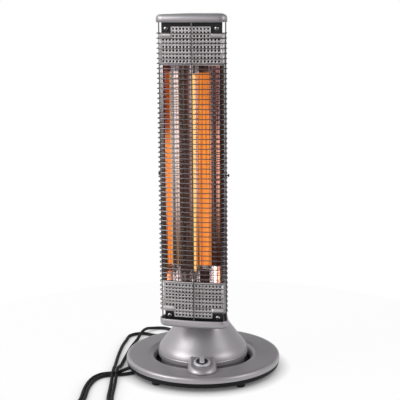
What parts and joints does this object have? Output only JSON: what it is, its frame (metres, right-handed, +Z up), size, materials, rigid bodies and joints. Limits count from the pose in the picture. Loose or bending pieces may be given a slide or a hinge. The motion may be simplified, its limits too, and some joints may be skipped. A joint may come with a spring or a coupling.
{
  "type": "patio heater",
  "caption": "Free-standing infrared patio heater tower: upright carbon lamp in a polished trough behind a wire guard, on a swinging round pedestal with a selector knob and a mains cord.",
  "frame": {"origin": "centre of the round base on the floor", "axes": "+Z up along the pedestal's axis, -Y towards the front with the knob, +X to the right seen from the front"},
  "size_m": [0.4178, 0.5289, 0.752],
  "materials": {
    "paint": "satin metallic paint",
    "plate": "satin metallic paint",
    "mirror": "polished",
    "wire": "bright plated",
    "steel": "plain",
    "black_metal": "satin black",
    "black_plastic": "fine texture",
    "knob_plastic": "satin metallic",
    "rubber": "matt",
    "cord": "woven look, matt",
    "quartz": "clear",
    "carbon": "glowing strip",
    "ceramic": "glazed",
    "brass": "plain",
    "wire_cover": "sleeved"
  },
  "bodies": {
    "pedestal": {"base_cover": "paint", "base_tray": "black_plastic", "ballast_plate": "steel", "foot_1": "rubber", "foot_2": "rubber", "foot_3": "rubber", "foot_4": "rubber", "foot_5": "rubber", "pedestal_dome": "paint", "swivel_bush": "black_plastic", "rotary_switch": "black_plastic", "gear_motor": "steel", "motor_bracket": "steel", "tip_switch": "black_plastic", "terminal_block": "ceramic", "strain_relief": "rubber", "mains_cord": "cord", "mains_plug": "rubber", "cord_tie": "black_plastic"},
    "tower": {"bottom_cap": "paint", "top_cap": "paint", "rear_housing": "paint", "swivel_tube": "steel", "retaining_ring": "steel", "swing_lever": "steel", "perforated_plate_top": "plate", "perforated_plate_bottom": "plate", "reflector": "mirror", "chamber_end_top": "mirror", "chamber_end_bottom": "mirror", "quartz_tube": "quartz", "lamp_cap_bottom": "ceramic", "lamp_cap_top": "ceramic", "filament": "carbon", "filament_spring_bottom": "steel", "filament_spring_top": "steel", "wire_guard": "wire", "side_frame_right": "mirror", "side_frame_left": "mirror", "end_bracket_top": "black_metal", "end_bracket_bottom": "black_metal", "bracket_screw_top_right": "steel", "bracket_screw_top_left": "steel", "bracket_screw_bottom_right": "steel", "bracket_screw_bottom_left": "steel", "side_screw_right": "steel", "side_screw_left": "steel", "lead_top": "wire_cover", "lead_bottom": "wire_cover"},
    "knob": {"selector_knob": "knob_plastic"},
    "crank": {"crank_arm": "brass"},
    "plunger": {"tip_plunger": "black_plastic"}
  },
  "joints": [
    {"name": "tower_swing", "type": "hinge", "parent": "pedestal", "child": "tower", "pos_m": [0, 0, 0.115], "axis": [0, 0, 1], "range_deg": [-17.5, 42.5]},
    {"name": "crank_turn", "type": "hinge", "parent": "pedestal", "child": "crank", "pos_m": [0, 0.044, 0.05], "axis": [0, 0, 1], "range_deg": [-70, 170]},
    {"name": "knob_turn", "type": "hinge", "parent": "pedestal", "child": "knob", "pos_m": [-0.0023, -0.116, 0.04614], "axis": [0, -0.1736, 0.9848], "range_deg": [-270, 0]},
    {"name": "tip_plunger_slide", "type": "slide", "parent": "pedestal", "child": "plunger", "axis": [0, 0, 1], "range_m": [-0.006, 0], "stiffness_N_per_m": 150, "springref_m": -0.006}
  ],
  "couplings": [
    {"joint": "crank_turn", "follows": "tower_swing", "ratio": 4}
  ]
}
